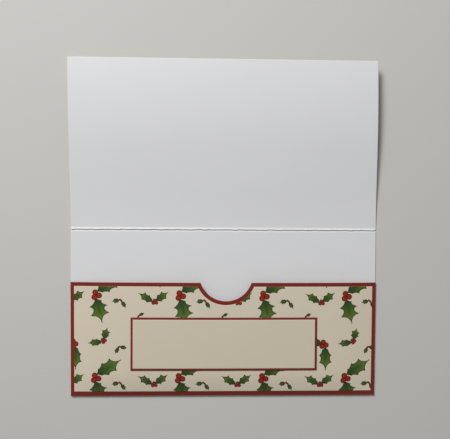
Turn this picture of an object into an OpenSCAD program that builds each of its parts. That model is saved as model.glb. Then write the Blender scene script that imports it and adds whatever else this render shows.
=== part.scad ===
// Gift card holder: a white card with one crease and a red pocket on its lower panel.
// It lies open. X runs along the crease, Y from the pocket's foot towards the cover's far edge, Z up.
// The origin is the centre of the back panel's underside.

/* [Base card] */
// Width of the card, along the crease
card_w = 170; // [140:0.5:220]
// Length of the back panel, from its lower edge to the crease
back_l = 93; // [80:0.5:120]
// Length of the cover, measured along its bow
cover_l = 93.5; // [80:0.5:120]
// Thickness of the base card
card_t = 0.4; // [0.3:0.05:0.8]
// How far the cover's far edge was cut off square, towards -X
cover_drift = 1.1; // [0:0.1:3]

/* [Crease] */
// Radius of the raised bead that the scoring tool leaves
bead_r = 0.35; // [0.2:0.05:0.7]
// Running clearance between the bead and the cover's root
bead_gap = 0.05; // [0.02:0.01:0.1]

/* [Bow of the cover] */
// Angle of the cover to the table where it leaves the crease, in degrees
root_angle = 3; // [1:0.5:6]
// Steepest angle of the cover, in degrees
steep_angle = 6.3; // [3:0.1:12]
// Angle of the cover at its far edge, in degrees
far_angle = -3; // [-8:0.5:2]
// Length over which the cover steepens
root_curl_l = 20; // [10:1:30]
// Length of the straight rise after it
straight_l = 25; // [10:1:40]

/* [Pocket] */
// Height of the pocket, from its foot fold to its mouth
pocket_h = 63.3; // [56:0.1:75]
// How far each side fold stands proud of the base card at the mouth
side_proud = 0.1; // [-4:0.1:1]
// How far each side draws in from the mouth to the foot
side_taper = 0.3; // [0:0.1:3]
// Strip of back panel left bare below the pocket
foot_margin = 0; // [0:0.1:6]
// Thickness of the pocket's card
pocket_t = 0.3; // [0.2:0.05:0.5]
// Clear gap inside a fold, where the card turns back
fold_gap = 0.3; // [0.1:0.05:0.6]
// Clear height inside the pocket, for a card of 0.76 mm
inner_gap = 1.9; // [1:0.1:2.5]
// Distance from a side fold over which the front swells up to it
side_swell_l = 28; // [8:0.5:40]
// Distance from the foot fold over which the front swells up to it
foot_swell_l = 14; // [6:0.5:20]
// How far the middle of the mouth bulges further up
bulge_h = 1.6; // [0.5:0.1:4]

/* [Thumb notch] */
// Radius of the round punch that cut the notch
notch_r = 14.8; // [8:0.2:20]
// Height of the punch's centre above the mouth
notch_rise = 4.6; // [0:0.2:8]
// Sideways offset of the notch, as it was punched by eye
notch_shift = 0.8; // [-3:0.1:3]

/* [Glue flaps] */
// Width of the flaps folded behind the pocket
flap_w = 12; // [8:0.5:18]
// Gap between two mitred flaps at their inner ends
mitre_gap = 1.5; // [0.5:0.1:4]
// Slope cut off the side flaps at the mouth
mouth_cut = 3; // [1:0.5:6]

/* [Patterned paper and label] */
// Red edge left bare round the patterned paper, at the sides and the mouth
border = 2.1; // [1.2:0.1:6]
// Red edge left bare below the patterned paper
foot_border = 2.6; // [1.2:0.1:6]
// Thickness of the patterned paper
paper_t = 0.15; // [0.1:0.05:0.3]
// Sideways offset of the paper, as it was laid by eye
paper_shift = 0; // [-0.8:0.1:0.8]
// Width of the label's red mat
label_w = 103.4; // [60:0.2:110]
// Height of the label's red mat
label_h = 29.6; // [22:0.2:32]
// Height of the mat's lower edge above the pocket's foot
label_rise = 14.5; // [8:0.1:16]
// Red edge that the mat shows round the label
mat_edge = 1.2; // [0.6:0.1:4]
// Thickness of the label's mat
mat_t = 0.2; // [0.1:0.05:0.4]
// Thickness of the label
label_t = 0.2; // [0.1:0.05:0.4]

/* [Double-sided tape] */
// Thickness of the tape
tape_t = 0.08; // [0.05:0.01:0.2]
// Width of the tape
tape_w = 6; // [3:0.5:7]
// Distance from a sheet's edge to its tape
tape_inset = 1.5; // [1:0.1:3]
// Gap between the ends of neighbouring strips
tape_gap = 0.5; // [0.2:0.1:2]

/* [Hidden] */

card_white = "#f2f1ef";
pocket_red = "#a02b28";
paper_cream = "#e3d8bf";
tape_clear = "#dfddd2";

// Places along Y
crease_y = back_l / 2;
foot_y = -back_l / 2 + foot_margin;
mouth_y = foot_y + pocket_h;

// Levels along Z, from the table up
flap_z = card_t + tape_t;
fold_r = pocket_t + fold_gap / 2;
fold_z = flap_z + fold_r;
front_z = flap_z + pocket_t + fold_gap;
paper_z = front_z + pocket_t + tape_t;
mat_z = paper_z + paper_t + tape_t;
label_z = mat_z + mat_t + tape_t;
// Most that the front rises above its folds
front_h = inner_gap - fold_gap + bulge_h;

// The pocket narrows towards its foot, so its side folds lean
mouth_half = card_w / 2 + side_proud;
foot_half = mouth_half - side_taper;
side_lean = atan(side_taper / pocket_h);
side_fold_l = pocket_h / cos(side_lean);
front_foot_y = foot_y + fold_r;
front_l = mouth_y - front_foot_y;

// Facets of the bulged sheets and of the bow
swell_steps = 4;
grid_u = 20;
grid_v = 10;
arc_steps = 12;
$fn = 96;
// What a cutting shape reaches past the solid that it cuts
over = 1;
// Turn below which an arc counts as straight, in degrees
least_turn = 0.01;

// Half the pocket's width at height y, out to the fold and in to the fold's tangent line
function side_x(y) = foot_half + (y - foot_y) * tan(side_lean);
function front_x(y) = side_x(y) - fold_r / cos(side_lean);

// Stations across a width of 2 * half: close together over the swell at both ends, even between
function station(k, half) =
    let (middle = (2 * half - 2 * side_swell_l) / (grid_u - 2 * swell_steps))
    k <= swell_steps ? -half + k * side_swell_l / swell_steps
    : k >= grid_u - swell_steps ? half - (grid_u - k) * side_swell_l / swell_steps
    : -half + side_swell_l + (k - swell_steps) * middle;

// Stations up the front, from the foot fold: close together over the swell, even above it
function rise_station(k) =
    k <= swell_steps ? k * foot_swell_l / swell_steps
    : foot_swell_l + (k - swell_steps) * (front_l - foot_swell_l) / (grid_v - swell_steps);

// What is still missing of the swell at distance d from a fold
function swell_lack(d, len) = d >= len ? 0 : pow(1 - d / len, 2);

// Rise of the pocket's front above its folds at x across it and d up from the foot fold
function front_rise(x, d) =
    let (half = front_x(front_foot_y + d), u = x / half, v = d / front_l)
    (inner_gap - fold_gap) * (1 - swell_lack(half - abs(x), side_swell_l)) * (1 - swell_lack(d, foot_swell_l))
    + bulge_h * pow(1 - u * u, 2) * v * (2 - v);
function front_point(i, j, z) =
    let (d = rise_station(j), y = front_foot_y + d, x = station(i, front_x(y)))
    [x, y, z + front_rise(x, d)];

// A point at fraction f of an arc that starts at p and turns from angle a to angle b
function arc_point(p, a, b, len, f) =
    abs(b - a) < least_turn
    ? p + f * len * [cos(a), sin(a)]
    : let (r = len / ((b - a) * PI / 180), c = a + f * (b - a)) p + r * [sin(c) - sin(a), cos(a) - cos(c)];

// Where the side fold and the foot fold meet: the mitre runs from the first point through the second
mitre_in = [front_x(front_foot_y), front_foot_y];
mitre_out = 2 * [side_x(foot_y), foot_y] - mitre_in;

// The inside face of the cover, as [place, angle] pairs from the crease to the far edge
far_curl_l = cover_l - root_curl_l - straight_l;
root_p = [crease_y, card_t];
rise_p = arc_point(root_p, root_angle, steep_angle, root_curl_l, 1);
crest_p = arc_point(rise_p, steep_angle, steep_angle, straight_l, 1);
cover_line = concat(
    [for (k = [0 : arc_steps - 1]) let (f = k / arc_steps)
        [arc_point(root_p, root_angle, steep_angle, root_curl_l, f),
            root_angle + f * (steep_angle - root_angle)]],
    [[rise_p, steep_angle]],
    [for (k = [0 : arc_steps * 2]) let (f = k / (arc_steps * 2))
        [arc_point(crest_p, steep_angle, far_angle, far_curl_l, f),
            steep_angle + f * (far_angle - steep_angle)]]
);
far_y = cover_line[len(cover_line) - 1][0][0];
// The cover's side edges lean towards -X
drift_slope = cover_drift / (far_y - crease_y);

// Extrudes a section, drawn in Y and Z, along X over the length w, centred
module along_x(w) {
    rotate([90, 0, 90])
        linear_extrude(w, center = true)
            children();
}

// A slab with the bulge of the pocket's front, from level z up by thick
module bulged_slab(z, thick) {
    across = grid_u + 1;
    layer = across * (grid_v + 1);
    lower = [for (j = [0 : grid_v]) for (i = [0 : grid_u]) front_point(i, j, z)];
    upper = [for (p = lower) p + [0, 0, thick]];
    rim = concat(
        [for (i = [0 : grid_u - 1]) i],
        [for (j = [0 : grid_v - 1]) j * across + grid_u],
        [for (i = [grid_u : -1 : 1]) grid_v * across + i],
        [for (j = [grid_v : -1 : 1]) j * across]
    );
    rims = len(rim);
    faces = concat(
        [for (j = [0 : grid_v - 1]) for (i = [0 : grid_u - 1]) let (k = j * across + i)
            each [[k, k + 1, k + across + 1], [k, k + across + 1, k + across]]],
        [for (j = [0 : grid_v - 1]) for (i = [0 : grid_u - 1]) let (k = layer + j * across + i)
            each [[k, k + across + 1, k + 1], [k, k + across, k + across + 1]]],
        [for (n = [0 : rims - 1]) let (a = rim[n], b = rim[(n + 1) % rims])
            each [[a, a + layer, b + layer], [a, b + layer, b]]]
    );
    polyhedron(concat(lower, upper), faces);
}

// A sheet that follows the bulge: children are its outline as seen from above
module bulged_sheet(z, thick) {
    intersection() {
        bulged_slab(z, thick);
        translate([0, 0, z - over])
            linear_extrude(front_h + thick + 2 * over)
                children();
    }
}

// A rectangle given by its lower left and upper right corners
module area(x0, y0, x1, y1) {
    translate([x0, y0])
        square([x1 - x0, y1 - y0]);
}

// The disc of the notch, widened by extra
module notch_disc(extra) {
    translate([notch_shift, mouth_y + notch_rise])
        circle(r = notch_r + extra);
}

// Section of a fold: half a ring, outward of the tangent line that the front and the flap end on
module fold_section() {
    translate([0, fold_z])
        intersection() {
            difference() {
                circle(r = fold_r);
                circle(r = fold_r - pocket_t);
            }
            area(0, -fold_r - over, fold_r + over, fold_r + over);
        }
}

module back_panel() {
    color(card_white)
        difference() {
            translate([-card_w / 2, -back_l / 2, 0])
                cube([card_w, back_l, card_t]);
            along_x(card_w + 2 * over)
                translate(root_p)
                    circle(r = bead_r);
        }
}

module fold_bead() {
    color(card_white)
        along_x(card_w)
            translate(root_p)
                circle(r = bead_r);
}

module cover_panel() {
    cut_l = far_y - crease_y + over;
    cut_x = cut_l * drift_slope;
    color(card_white)
        difference() {
            intersection() {
                along_x(card_w + 2 * cut_x + 2 * over)
                    polygon(concat(
                        [for (c = cover_line) c[0]],
                        [for (k = [len(cover_line) - 1 : -1 : 0]) let (c = cover_line[k])
                            c[0] + card_t * [sin(c[1]), -cos(c[1])]]
                    ));
                translate([0, 0, -over])
                    linear_extrude(cover_l)
                        polygon([
                            [-card_w / 2, crease_y],
                            [card_w / 2, crease_y],
                            [card_w / 2 - cut_x, crease_y + cut_l],
                            [-card_w / 2 - cut_x, crease_y + cut_l]
                        ]);
            }
            along_x(card_w + 2 * over)
                translate(root_p)
                    circle(r = bead_r + bead_gap);
        }
}

module pocket_front() {
    color(pocket_red)
        difference() {
            bulged_slab(front_z, pocket_t);
            translate([0, 0, front_z - over])
                linear_extrude(front_h + pocket_t + 2 * over)
                    notch_disc(0);
        }
}

// Fold on the +X side, cut square at the mouth and mitred at the foot
module side_fold() {
    outer_x = side_x(mouth_y) + over;
    intersection() {
        translate([front_x(foot_y), foot_y, 0])
            rotate([90, 0, -side_lean])
                translate([0, 0, -side_fold_l - over])
                    linear_extrude(side_fold_l + 2 * over)
                        fold_section();
        linear_extrude(front_z + pocket_t + over)
            polygon([
                mitre_in,
                mitre_out,
                [outer_x, mitre_out[1]],
                [outer_x, mouth_y],
                [front_x(mouth_y), mouth_y]
            ]);
    }
}

module pocket_fold_right() {
    color(pocket_red)
        side_fold();
}

module pocket_fold_left() {
    color(pocket_red)
        mirror([1, 0, 0])
            side_fold();
}

module pocket_fold_foot() {
    color(pocket_red)
        intersection() {
            translate([0, front_foot_y, 0])
                rotate([90, 0, -90])
                    linear_extrude(2 * foot_half + 2 * over, center = true)
                        fold_section();
            linear_extrude(front_z + pocket_t + over)
                polygon([
                    mitre_in,
                    mitre_out,
                    [-mitre_out[0], mitre_out[1]],
                    [-mitre_in[0], mitre_in[1]]
                ]);
        }
}

// Flap on the +X side: its foot end is cut at 45 degrees and its mouth end slopes
module side_flap() {
    translate([0, 0, flap_z])
        linear_extrude(pocket_t)
            polygon([
                mitre_in,
                [front_x(mouth_y), mouth_y],
                [front_x(mouth_y) - flap_w, mouth_y - mouth_cut],
                mitre_in + [-flap_w, flap_w]
            ]);
}

module pocket_flap_right() {
    color(pocket_red)
        side_flap();
}

module pocket_flap_left() {
    color(pocket_red)
        mirror([1, 0, 0])
            side_flap();
}

module pocket_flap_foot() {
    tip = mitre_in + [-flap_w - mitre_gap, flap_w];
    color(pocket_red)
        translate([0, 0, flap_z])
            linear_extrude(pocket_t)
                polygon([mitre_in, tip, [-tip[0], tip[1]], [-mitre_in[0], mitre_in[1]]]);
}

// Tape under the +X flap, above its mitre
module side_flap_tape() {
    outer_x = front_x(foot_y) - tape_inset;
    low_y = front_foot_y + flap_w;
    translate([outer_x - tape_w, low_y, card_t])
        cube([tape_w, mouth_y - mouth_cut - low_y, tape_t]);
}

module flap_tape_right() {
    color(tape_clear)
        side_flap_tape();
}

module flap_tape_left() {
    color(tape_clear)
        mirror([1, 0, 0])
            side_flap_tape();
}

module flap_tape_foot() {
    half = front_x(foot_y) - flap_w - mitre_gap;
    color(tape_clear)
        translate([-half, front_foot_y + tape_inset, card_t])
            cube([2 * half, tape_w, tape_t]);
}

module paper_outline() {
    low_y = foot_y + foot_border;
    high_y = mouth_y - border;
    low_x = side_x(low_y) - border;
    high_x = side_x(high_y) - border;
    difference() {
        translate([paper_shift, 0])
            polygon([[-low_x, low_y], [low_x, low_y], [high_x, high_y], [-high_x, high_y]]);
        notch_disc(border);
    }
}

module patterned_paper() {
    color(paper_cream)
        bulged_sheet(paper_z, paper_t)
            paper_outline();
}

// Five strips: both sides, the foot, and the mouth on either side of the notch
module paper_tape() {
    edge_x = side_x(foot_y) - border - tape_inset;
    low_y = foot_y + foot_border + tape_inset;
    high_y = mouth_y - border - tape_inset;
    inner_x = edge_x - tape_w - tape_gap;
    notch_x = notch_r + border + tape_inset;
    color(tape_clear)
        bulged_sheet(paper_z - tape_t, tape_t)
            translate([paper_shift, 0]) {
                area(-edge_x, low_y, tape_w - edge_x, high_y);
                area(edge_x - tape_w, low_y, edge_x, high_y);
                area(-inner_x, low_y, inner_x, low_y + tape_w);
                area(-inner_x, high_y - tape_w, notch_shift - paper_shift - notch_x, high_y);
                area(notch_shift - paper_shift + notch_x, high_y - tape_w, inner_x, high_y);
            }
}

// The rectangle of the mat, drawn in by inset on every side
module label_area(inset) {
    low_y = foot_y + label_rise;
    area(inset - label_w / 2, low_y + inset, label_w / 2 - inset, low_y + label_h - inset);
}

// Two strips along the long edges of the mat drawn in by inset
module label_strips(inset) {
    low_y = foot_y + label_rise + inset;
    high_y = low_y + label_h - 2 * inset;
    half = label_w / 2 - inset;
    area(-half, low_y, half, low_y + tape_w);
    area(-half, high_y - tape_w, half, high_y);
}

module label_mat() {
    color(pocket_red)
        bulged_sheet(mat_z, mat_t)
            label_area(0);
}

module mat_tape() {
    color(tape_clear)
        bulged_sheet(mat_z - tape_t, tape_t)
            label_strips(tape_inset);
}

module label_panel() {
    color(paper_cream)
        bulged_sheet(label_z, label_t)
            label_area(mat_edge);
}

module label_tape() {
    color(tape_clear)
        bulged_sheet(label_z - tape_t, tape_t)
            label_strips(mat_edge + tape_inset);
}

back_panel();
fold_bead();
cover_panel();
pocket_front();
pocket_fold_left();
pocket_fold_right();
pocket_fold_foot();
pocket_flap_left();
pocket_flap_right();
pocket_flap_foot();
flap_tape_left();
flap_tape_right();
flap_tape_foot();
patterned_paper();
paper_tape();
label_mat();
mat_tape();
label_panel();
label_tape();
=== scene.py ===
"""Gift card holder, open on a table: a creased white card with a red pocket, a holly paper and a label.

All sizes are in millimetres and become metres where a mesh is made. X runs along the crease, Y from the
pocket's foot towards the cover's far edge, and Z up from the table.
"""

import logging
import math
from dataclasses import dataclass
from enum import Enum

import bmesh
import bpy
import numpy as np
from mathutils import Matrix, Vector


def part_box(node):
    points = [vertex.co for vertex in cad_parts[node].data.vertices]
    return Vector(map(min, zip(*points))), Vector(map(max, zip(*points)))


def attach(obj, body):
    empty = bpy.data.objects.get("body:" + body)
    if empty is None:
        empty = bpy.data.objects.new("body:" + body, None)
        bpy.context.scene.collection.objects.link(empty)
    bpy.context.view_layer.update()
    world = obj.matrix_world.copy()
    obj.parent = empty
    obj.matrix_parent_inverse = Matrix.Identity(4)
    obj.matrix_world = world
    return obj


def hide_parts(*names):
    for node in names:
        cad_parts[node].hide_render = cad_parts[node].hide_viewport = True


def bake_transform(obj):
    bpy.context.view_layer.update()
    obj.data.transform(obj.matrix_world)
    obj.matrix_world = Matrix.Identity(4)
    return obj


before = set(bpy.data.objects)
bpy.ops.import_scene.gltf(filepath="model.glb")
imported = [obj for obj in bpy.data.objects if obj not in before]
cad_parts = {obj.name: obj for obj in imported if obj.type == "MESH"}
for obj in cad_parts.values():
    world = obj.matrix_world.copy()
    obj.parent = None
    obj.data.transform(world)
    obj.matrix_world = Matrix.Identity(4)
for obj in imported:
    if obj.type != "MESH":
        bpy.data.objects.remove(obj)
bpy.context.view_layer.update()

log = logging.getLogger("holder")

MM = 0.001
WELD_M = 2e-7

Colour = tuple[float, float, float, float]


class Body(Enum):
    """The bodies that a piece can ride on."""

    BASE = "base"
    COVER = "cover"


class Side(Enum):
    """The sides of a grid of points: its first or last row or column."""

    FIRST_ROW = "first row"
    LAST_ROW = "last row"
    FIRST_COLUMN = "first column"
    LAST_COLUMN = "last column"


ALL_SIDES = tuple(Side)


def srgb(code: str) -> Colour:
    """Turns an sRGB hex colour into linear red, green, blue and alpha.

    Args:
        code: The colour, such as "#a02b28".

    Returns:
        The linear colour, with alpha 1.
    """
    parts = [int(code[k:k + 2], 16) / 255 for k in (1, 3, 5)]
    linear = [p / 12.92 if p <= 0.04045 else ((p + 0.055) / 1.055) ** 2.4 for p in parts]
    return (*linear, 1.0)


def box_mm(node: str) -> tuple[np.ndarray, np.ndarray]:
    """Gives a CAD node's lowest and highest corners at rest, in millimetres.

    Args:
        node: The node's name.

    Returns:
        The two corners.
    """
    low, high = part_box(node)
    return np.array(low) / MM, np.array(high) / MM


def stations(low: float, high: float, step: float, edge: float = 0.3) -> np.ndarray:
    """Spaces grid lines evenly, with one more line close to each end that keeps the rim crisp.

    Args:
        low: First place.
        high: Last place.
        step: Spacing between the ends.
        edge: Distance from each end to its nearest line.

    Returns:
        The places in rising order.
    """
    count = max(2, round((high - low - 2 * edge) / step) + 1)
    return np.concatenate([[low], np.linspace(low + edge, high - edge, count), [high]])


def smooth_step(values: np.ndarray) -> np.ndarray:
    """Gives the smooth step 3 t^2 - 2 t^3, where t is the value held between 0 and 1."""
    t = np.clip(values, 0, 1)
    return t * t * (3 - 2 * t)


def surface(x: np.ndarray | float, y: np.ndarray | float, z: np.ndarray | float) -> np.ndarray:
    """Joins places across, up and above into one grid of points, with each spread out to the full grid."""
    return np.stack(np.broadcast_arrays(x, y, z), axis=-1)


def wander(places: np.ndarray, waves: tuple[float, ...], seed: int) -> np.ndarray:
    """Makes a smooth irregular line: a sum of sines of the given wavelengths with seeded phases.

    Args:
        places: Places along the line, in millimetres.
        waves: Wavelengths, in millimetres.
        seed: Seed of the phases.

    Returns:
        Heights between about -1 and 1.
    """
    phases = np.random.default_rng(seed).uniform(0, 2 * math.pi, len(waves))
    waved = [np.sin(2 * math.pi * places / wave + phase) for wave, phase in zip(waves, phases)]
    return np.sum(waved, axis=0) / len(waves)


class Shell:
    """Grids of points that are welded along their shared edges into one closed mesh."""

    def __init__(self) -> None:
        """Starts with no grids."""
        self.points: list[np.ndarray] = []
        self.quads: list[np.ndarray] = []
        # The second mark is where folds are paler, partly from rubbing and partly as a painted highlight
        self.marks: dict[str, list[np.ndarray]] = {"cut_edge": [], "fold_wear_and_highlight": []}
        self.count = 0

    def patch(self, grid: np.ndarray, cut: float | np.ndarray = 0.0, wear_and_highlight: float | np.ndarray = 0.0) -> None:
        """Adds one grid: each cell becomes a quad.

        Args:
            grid: Points, shaped rows by columns by 3.
            cut: How far each point lies on a cut edge, 0 to 1.
            wear_and_highlight: How far each point lies on a paler fold, partly from rubbing and partly a
                painted highlight, 0 to 1.
        """
        rows, columns = grid.shape[:2]
        index = self.count + np.arange(rows * columns).reshape(rows, columns)
        corners = [index[:-1, :-1], index[:-1, 1:], index[1:, 1:], index[1:, :-1]]
        self.quads.append(np.stack(corners, axis=-1).reshape(-1, 4))
        self.points.append(grid.reshape(-1, 3))
        self.marks["cut_edge"].append(np.broadcast_to(cut, (rows, columns)).ravel())
        self.marks["fold_wear_and_highlight"].append(np.broadcast_to(wear_and_highlight, (rows, columns)).ravel())
        self.count += rows * columns

    def wall(self, outer: np.ndarray, inner: np.ndarray, sides: tuple[Side, ...] = ALL_SIDES,
             rounding: float = 0.03, wear_and_highlight: float | np.ndarray = 0.0) -> None:
        """Adds a sheet: its two faces, and a rounded rim along each side that is cut and not joined on.

        Args:
            outer: Points of one face.
            inner: Points of the other face, each opposite its outer point.
            sides: The sides to close with a rim.
            rounding: How far the rim bulges out between the faces, in millimetres.
            wear_and_highlight: How far each point lies on a paler fold, partly from rubbing and partly a
                painted highlight, 0 to 1.
        """
        self.patch(outer, wear_and_highlight=wear_and_highlight)
        self.patch(inner, wear_and_highlight=wear_and_highlight)
        for side in sides:
            self.rim(outer, inner, side, rounding)

    def rim(self, outer: np.ndarray, inner: np.ndarray, side: Side, rounding: float) -> None:
        """Closes one side between two faces with a strip that bulges away from the sheet.

        The bulge is a sine over the thickness, and it fades to nothing at the strip's ends so that strips
        which meet at a corner share it.

        Args:
            outer: Points of one face.
            inner: Points of the other face.
            side: The side to close.
            rounding: Height of the bulge, in millimetres.
        """
        if side in (Side.FIRST_COLUMN, Side.LAST_COLUMN):
            outer, inner = outer.transpose(1, 0, 2), inner.transpose(1, 0, 2)
        if side in (Side.LAST_ROW, Side.LAST_COLUMN):
            outer, inner = outer[::-1], inner[::-1]
        edge_out, edge_in = outer[0], inner[0]
        away = edge_out - outer[1]
        away = away / np.linalg.norm(away, axis=1, keepdims=True)
        fade = np.ones(len(edge_out))
        fade[[0, -1]] = 0
        depth = np.array([0.0, 0.2, 0.5, 0.8, 1.0])
        cut = np.array([0.0, 1.0, 1.0, 1.0, 0.0])
        bulge = rounding * np.sin(math.pi * depth)
        strip = (edge_out + depth[:, None, None] * (edge_in - edge_out)
                 + bulge[:, None, None] * fade[:, None] * away)
        self.patch(strip, cut=cut[:, None])

    def build(self, name: str) -> bpy.types.Object:
        """Welds the grids and turns every face outwards.

        Args:
            name: The piece's name.

        Returns:
            The finished object, at the origin, with smooth faces.
        """
        mesh = bpy.data.meshes.new(name)
        quads = np.concatenate(self.quads)
        mesh.from_pydata(np.concatenate(self.points) * MM, [], quads.tolist())
        for mark, parts in self.marks.items():
            attribute = mesh.attributes.new(mark, "FLOAT", "POINT")
            attribute.data.foreach_set("value", np.concatenate(parts).astype(np.float32))
        work = bmesh.new()
        work.from_mesh(mesh)
        bmesh.ops.remove_doubles(work, verts=work.verts, dist=WELD_M)
        bmesh.ops.recalc_face_normals(work, faces=work.faces)
        open_edges = sum(len(edge.link_faces) != 2 for edge in work.edges)
        work.to_mesh(mesh)
        work.free()
        mesh.shade_smooth()
        mesh.update()
        if open_edges:
            log.warning("%s: %d edges aren't shared by two faces", name, open_edges)
        piece = bpy.data.objects.new(name, mesh)
        bpy.context.scene.collection.objects.link(piece)
        return piece


def publish(piece: bpy.types.Object, stock: "Finish", body: Body | None, slot: str, *nodes: str) -> None:
    """Dresses a finished piece, puts it on its body and names the CAD nodes that it stands for.

    Args:
        piece: The piece.
        stock: Its finish.
        body: The body that it rides on, or None for a piece that rides on no body.
        slot: The record's material slot.
        nodes: The CAD nodes that it replaces.
    """
    piece.data.materials.append(stock.material())
    if body is not None:
        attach(piece, body.value)
    if nodes:
        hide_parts(*nodes)
    faces = len(piece.data.polygons)
    log.info("%s: %d faces, %s, for %s", piece.name, faces, slot, ", ".join(nodes) or "no node")


def add_node(tree: bpy.types.NodeTree, kind: str, links: dict[int | str, object] | None = None,
             **settings: object) -> bpy.types.Node:
    """Adds a node, sets its properties and fills its inputs.

    Args:
        tree: The node tree.
        kind: The node's type.
        links: Input name or number, and its value or the wire that feeds it.
        settings: The node's own properties.

    Returns:
        The node.
    """
    node = tree.nodes.new(kind)
    for name, value in settings.items():
        setattr(node, name, value)
    for key, value in (links or {}).items():
        if isinstance(value, Wire):
            tree.links.new(value.socket, node.inputs[key])
        else:
            node.inputs[key].default_value = value
    return node


class Op(Enum):
    """Named operations: a node's type, its inputs in the order of filling, the output read, and settings."""

    PLUS = ("ShaderNodeMath", (0, 1), 0, {"operation": "ADD"})
    MINUS = ("ShaderNodeMath", (0, 1), 0, {"operation": "SUBTRACT"})
    TIMES = ("ShaderNodeMath", (0, 1), 0, {"operation": "MULTIPLY"})
    OVER = ("ShaderNodeMath", (0, 1), 0, {"operation": "DIVIDE"})
    TO_THE = ("ShaderNodeMath", (0, 1), 0, {"operation": "POWER"})
    SIZE = ("ShaderNodeMath", (0,), 0, {"operation": "ABSOLUTE"})
    SINE = ("ShaderNodeMath", (0,), 0, {"operation": "SINE"})
    LESSER = ("ShaderNodeMath", (0, 1), 0, {"operation": "MINIMUM"})
    GREATER = ("ShaderNodeMath", (0, 1), 0, {"operation": "MAXIMUM"})
    ABOVE = ("ShaderNodeMath", (0, 1), 0, {"operation": "GREATER_THAN"})
    EASE = ("ShaderNodeMapRange", (0, 1, 2), 0, {"interpolation_type": "SMOOTHSTEP"})
    BLEND = ("ShaderNodeMix", (0, 6, 7), 2, {"data_type": "RGBA"})
    SCALED = ("ShaderNodeVectorMath", (0, "Scale"), 0, {"operation": "SCALE"})
    FROM = ("ShaderNodeVectorMath", (0, 1), 0, {"operation": "SUBTRACT"})
    WRAPPED = ("ShaderNodeVectorMath", (0, 1, 2), 0, {"operation": "WRAP"})
    ALONG = ("ShaderNodeVectorMath", (0, 1), 1, {"operation": "DOT_PRODUCT"})
    DISTANCE = ("ShaderNodeVectorMath", (0, 1), 1, {"operation": "DISTANCE"})
    TURNED = ("ShaderNodeVectorRotate", ("Vector", "Angle"), 0, {"rotation_type": "Z_AXIS"})


class Wire:
    """What one output carries through a node tree, so that a formula can be written as arithmetic."""

    def __init__(self, tree: bpy.types.NodeTree, socket: bpy.types.NodeSocket) -> None:
        """Holds the tree and the socket."""
        self.tree = tree
        self.socket = socket

    def then(self, op: Op, *others: object) -> "Wire":
        """Passes this through one more node.

        Args:
            op: What the node does. EASE rises smoothly from 0 to 1 between two numbers, and BLEND goes from
                one colour to another as this goes from 0 to 1.
            others: The node's other inputs.

        Returns:
            The result.
        """
        kind, inputs, output, settings = op.value
        node = add_node(self.tree, kind, dict(zip(inputs, (self, *others))), **settings)
        return Wire(self.tree, node.outputs[output])

    def __add__(self, other: "Wire | float") -> "Wire":
        """Adds."""
        return self.then(Op.PLUS, other)

    def __sub__(self, other: "Wire | float") -> "Wire":
        """Subtracts."""
        return self.then(Op.MINUS, other)

    def __rsub__(self, other: float) -> "Wire":
        """Subtracts from a number."""
        return self * -1.0 + other

    def __mul__(self, other: "Wire | float") -> "Wire":
        """Multiplies."""
        return self.then(Op.TIMES, other)

    def __truediv__(self, other: "Wire | float") -> "Wire":
        """Divides."""
        return self.then(Op.OVER, other)

    def __pow__(self, other: "Wire | float") -> "Wire":
        """Raises to a power."""
        return self.then(Op.TO_THE, other)

    def __abs__(self) -> "Wire":
        """Drops the sign."""
        return self.then(Op.SIZE)


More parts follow.
